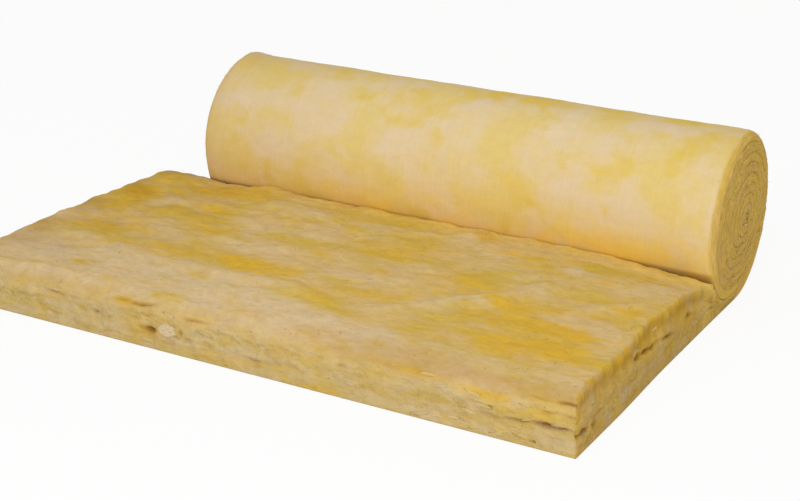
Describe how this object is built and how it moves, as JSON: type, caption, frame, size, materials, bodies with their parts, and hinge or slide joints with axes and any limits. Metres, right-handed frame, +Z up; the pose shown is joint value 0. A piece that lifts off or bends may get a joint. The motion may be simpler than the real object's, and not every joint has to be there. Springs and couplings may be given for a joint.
{
  "type": "insulation roll",
  "caption": "Partly unrolled roll of pale yellow unfaced glass wool: one continuous blanket, flat at full loft in front and wound tight into a roll behind.",
  "frame": {"origin": "on the floor, under the middle of the whole piece", "axes": "+X along the roll's axis towards its flush end, +Y from the free edge towards the roll, +Z up"},
  "size_m": [1.209, 0.9284, 0.324],
  "materials": {
    "wool": "matte"
  },
  "bodies": {
    "root": {"glass_wool_blanket": "wool"}
  },
  "joints": []
}
